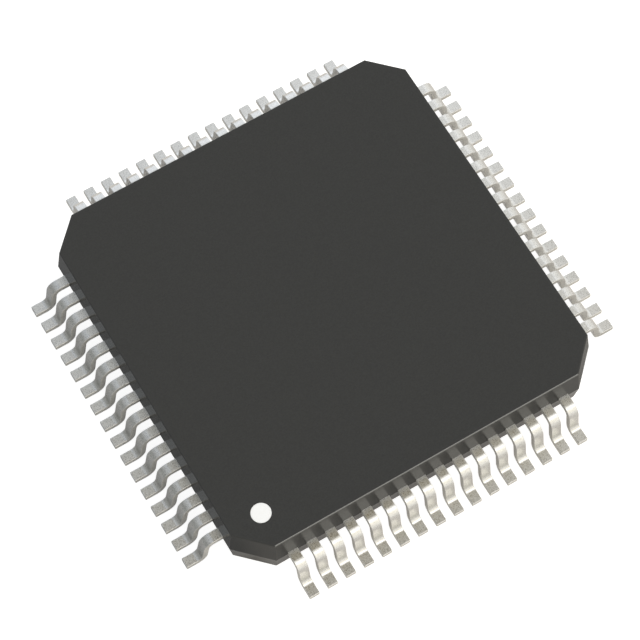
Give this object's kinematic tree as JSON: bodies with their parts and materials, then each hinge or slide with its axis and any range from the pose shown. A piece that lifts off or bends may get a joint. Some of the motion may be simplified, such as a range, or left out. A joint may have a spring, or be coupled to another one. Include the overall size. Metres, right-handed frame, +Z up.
{
  "type": "integrated circuit",
  "caption": "Quad flat integrated circuit package: dark moulded body with cut corners, gull-wing leads on all sides and a white first-pin dot.",
  "frame": {"origin": "middle of the package in plan, on the plane that the feet stand on", "axes": "+Z up out of the board, X and Y square to the sides. The first-pin dot is at the (-X, -Y) corner. The first lead is on the front (-Y) side next to it, and the leads count anticlockwise seen from above."},
  "size_m": [0.012, 0.012, 0.0016],
  "materials": {
    "moulding_compound": "satin, finely granular",
    "white_ink": "matt",
    "tin_plated_lead": "satin tin plate over copper alloy",
    "copper_frame": "bare copper alloy",
    "silver_epoxy": "matt",
    "silicon": "polished",
    "gold_wire": "bright"
  },
  "bodies": {
    "root": {"moulded_body": "moulding_compound", "pin_1_mark": "white_ink", "die_pad": "copper_frame", "die_attach": "silver_epoxy", "die": "silicon", "leads_01_02": "tin_plated_lead", "leads_03_04": "tin_plated_lead", "leads_05_06": "tin_plated_lead", "leads_07_08": "tin_plated_lead", "leads_09_10": "tin_plated_lead", "leads_11_12": "tin_plated_lead", "leads_13_14": "tin_plated_lead", "leads_15_16": "tin_plated_lead", "leads_17_18": "tin_plated_lead", "leads_19_20": "tin_plated_lead", "leads_21_22": "tin_plated_lead", "leads_23_24": "tin_plated_lead", "leads_25_26": "tin_plated_lead", "leads_27_28": "tin_plated_lead", "leads_29_30": "tin_plated_lead", "leads_31_32": "tin_plated_lead", "leads_33_34": "tin_plated_lead", "leads_35_36": "tin_plated_lead", "leads_37_38": "tin_plated_lead", "leads_39_40": "tin_plated_lead", "leads_41_42": "tin_plated_lead", "leads_43_44": "tin_plated_lead", "leads_45_46": "tin_plated_lead", "leads_47_48": "tin_plated_lead", "leads_49_50": "tin_plated_lead", "leads_51_52": "tin_plated_lead", "leads_53_54": "tin_plated_lead", "leads_55_56": "tin_plated_lead", "leads_57_58": "tin_plated_lead", "leads_59_60": "tin_plated_lead", "leads_61_62": "tin_plated_lead", "leads_63_64": "tin_plated_lead", "bond_wires_01_04": "gold_wire", "bond_wires_05_08": "gold_wire", "bond_wires_09_12": "gold_wire", "bond_wires_13_16": "gold_wire", "bond_wires_17_20": "gold_wire", "bond_wires_21_24": "gold_wire", "bond_wires_25_28": "gold_wire", "bond_wires_29_32": "gold_wire", "bond_wires_33_36": "gold_wire", "bond_wires_37_40": "gold_wire", "bond_wires_41_44": "gold_wire", "bond_wires_45_48": "gold_wire", "bond_wires_49_52": "gold_wire", "bond_wires_53_56": "gold_wire", "bond_wires_57_60": "gold_wire", "bond_wires_61_64": "gold_wire"}
  },
  "joints": []
}
